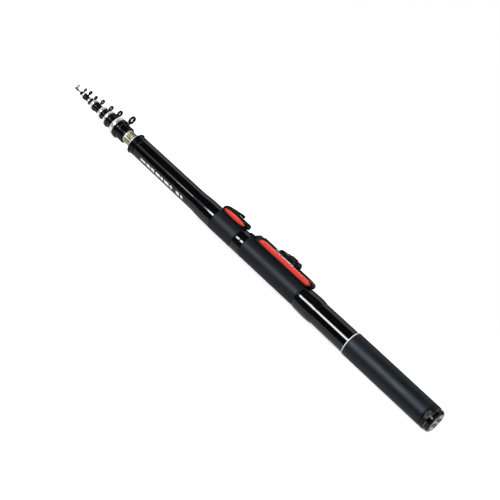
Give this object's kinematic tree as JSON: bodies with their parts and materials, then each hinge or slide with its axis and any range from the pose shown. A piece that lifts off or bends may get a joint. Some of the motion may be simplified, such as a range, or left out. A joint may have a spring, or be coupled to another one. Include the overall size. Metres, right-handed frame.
{
  "type": "boat rod",
  "caption": "Telescopic boat rod, closed: butt with grip, screw cap and sliding-hood reel seat, nested sections with collars, line guides and bright end rings.",
  "frame": {"origin": "centre of the butt cap's end face, on the rod's axis", "axes": "+X along the rod's axis from the butt cap to the tip; +Z from the axis towards the line guides and the reel seat; +Y completes a right-handed frame, and the rod is alike on both sides of Y = 0"},
  "size_m": [0.5585, 0.028, 0.04],
  "materials": {
    "lacquered_blank": "high-gloss black lacquer",
    "grip_rubber": "matte, fine texture",
    "seat_coating": "matte soft coating",
    "wrap_varnish": "varnished wrap, glossy",
    "seat_plastic": "satin moulded plastic",
    "inlay_orange": "orange-red, satin gloss",
    "white_plastic": "white",
    "black_metal": "black anodised",
    "bright_steel": "bright",
    "polished_aluminium": "polished bright",
    "champagne_metal": "champagne, fine lengthwise lines",
    "guide_ceramic": "dark ceramic, polished",
    "badge_metal": "grey-green, satin",
    "black_rubber": "matte"
  },
  "bodies": {
    "butt": {"butt_blank": "lacquered_blank", "mouth_ring": "black_metal", "rear_grip": "grip_rubber", "grip_trim_ring": "white_plastic", "butt_ferrule": "black_metal", "rear_wrap": "wrap_varnish", "rear_seat_sleeve": "seat_coating", "middle_wrap": "wrap_varnish", "front_seat_sleeve": "seat_coating", "front_saddle": "seat_plastic", "front_hood": "seat_plastic", "front_inlay_left": "inlay_orange", "front_inlay_right": "inlay_orange", "seat_rail": "seat_plastic", "rail_inlay_left": "inlay_orange", "rail_inlay_right": "inlay_orange"},
    "seat_slider": {"slide_runner": "bright_steel", "slide_hood": "seat_plastic", "lever_pin": "bright_steel"},
    "lever": {"lock_lever": "seat_plastic"},
    "cap_carriage": {"cap_buffer": "black_rubber", "cap_o_ring": "black_rubber"},
    "cap": {"butt_cap": "black_metal", "cap_badge": "badge_metal"},
    "section_1": {"section_1_tube": "lacquered_blank", "section_1_collar": "seat_plastic", "section_1_guide_ring": "guide_ceramic", "section_1_end_ring": "polished_aluminium", "section_1_sleeve": "champagne_metal"},
    "section_2": {"section_2_tube": "lacquered_blank", "section_2_collar": "seat_plastic", "section_2_guide_ring": "guide_ceramic", "section_2_end_ring": "polished_aluminium"},
    "section_3": {"section_3_tube": "lacquered_blank", "section_3_collar": "seat_plastic", "section_3_guide_ring": "guide_ceramic", "section_3_end_ring": "polished_aluminium"},
    "section_4": {"section_4_tube": "lacquered_blank", "section_4_collar": "seat_plastic", "section_4_guide_ring": "guide_ceramic", "section_4_end_ring": "polished_aluminium"},
    "section_5": {"section_5_tube": "lacquered_blank", "section_5_collar": "seat_plastic", "section_5_guide_ring": "guide_ceramic", "section_5_end_ring": "polished_aluminium"},
    "section_6": {"section_6_tube": "lacquered_blank", "section_6_collar": "seat_plastic", "section_6_guide_ring": "guide_ceramic", "section_6_end_ring": "polished_aluminium"},
    "section_7": {"tip_blank": "lacquered_blank", "tip_top": "black_metal", "tip_top_ring": "guide_ceramic"},
    "float_guide": {"float_collar": "seat_plastic", "float_guide_ring": "guide_ceramic"}
  },
  "joints": [
    {"name": "section_1_slide", "type": "slide", "parent": "butt", "child": "section_1", "axis": [1, 0, 0], "range_m": [0, 0.382]},
    {"name": "section_2_slide", "type": "slide", "parent": "section_1", "child": "section_2", "axis": [1, 0, 0], "range_m": [0, 0.4192]},
    {"name": "section_3_slide", "type": "slide", "parent": "section_2", "child": "section_3", "axis": [1, 0, 0], "range_m": [0, 0.4357]},
    {"name": "section_4_slide", "type": "slide", "parent": "section_3", "child": "section_4", "axis": [1, 0, 0], "range_m": [0, 0.4495]},
    {"name": "section_5_slide", "type": "slide", "parent": "section_4", "child": "section_5", "axis": [1, 0, 0], "range_m": [0, 0.4668]},
    {"name": "section_6_slide", "type": "slide", "parent": "section_5", "child": "section_6", "axis": [1, 0, 0], "range_m": [0, 0.4759]},
    {"name": "section_7_slide", "type": "slide", "parent": "section_6", "child": "section_7", "axis": [1, 0, 0], "range_m": [0, 0.4892]},
    {"name": "float_guide_slide", "type": "slide", "parent": "section_7", "child": "float_guide", "axis": [1, 0, 0], "range_m": [-0.2205, 0]},
    {"name": "seat_slide", "type": "slide", "parent": "butt", "child": "seat_slider", "axis": [1, 0, 0], "range_m": [-0.02, 0.02]},
    {"name": "lever_hinge", "type": "hinge", "parent": "seat_slider", "child": "lever", "pos_m": [0.2322, 0, 0.0237], "axis": [0, 1, 0], "range_deg": [0, 80]},
    {"name": "cap_travel", "type": "slide", "parent": "butt", "child": "cap_carriage", "axis": [-1, 0, 0], "range_m": [0, 0.005]},
    {"name": "cap_turn", "type": "hinge", "parent": "cap_carriage", "child": "cap", "pos_m": [0.012, 0, 0], "axis": [-1, 0, 0], "range_deg": [0, 1440]}
  ],
  "couplings": [
    {"joint": "cap_turn", "follows": "cap_travel", "rad_per_m": 5026.5},
    {"joint": "float_guide_slide", "follows": "section_7_slide", "ratio": -0.45}
  ]
}
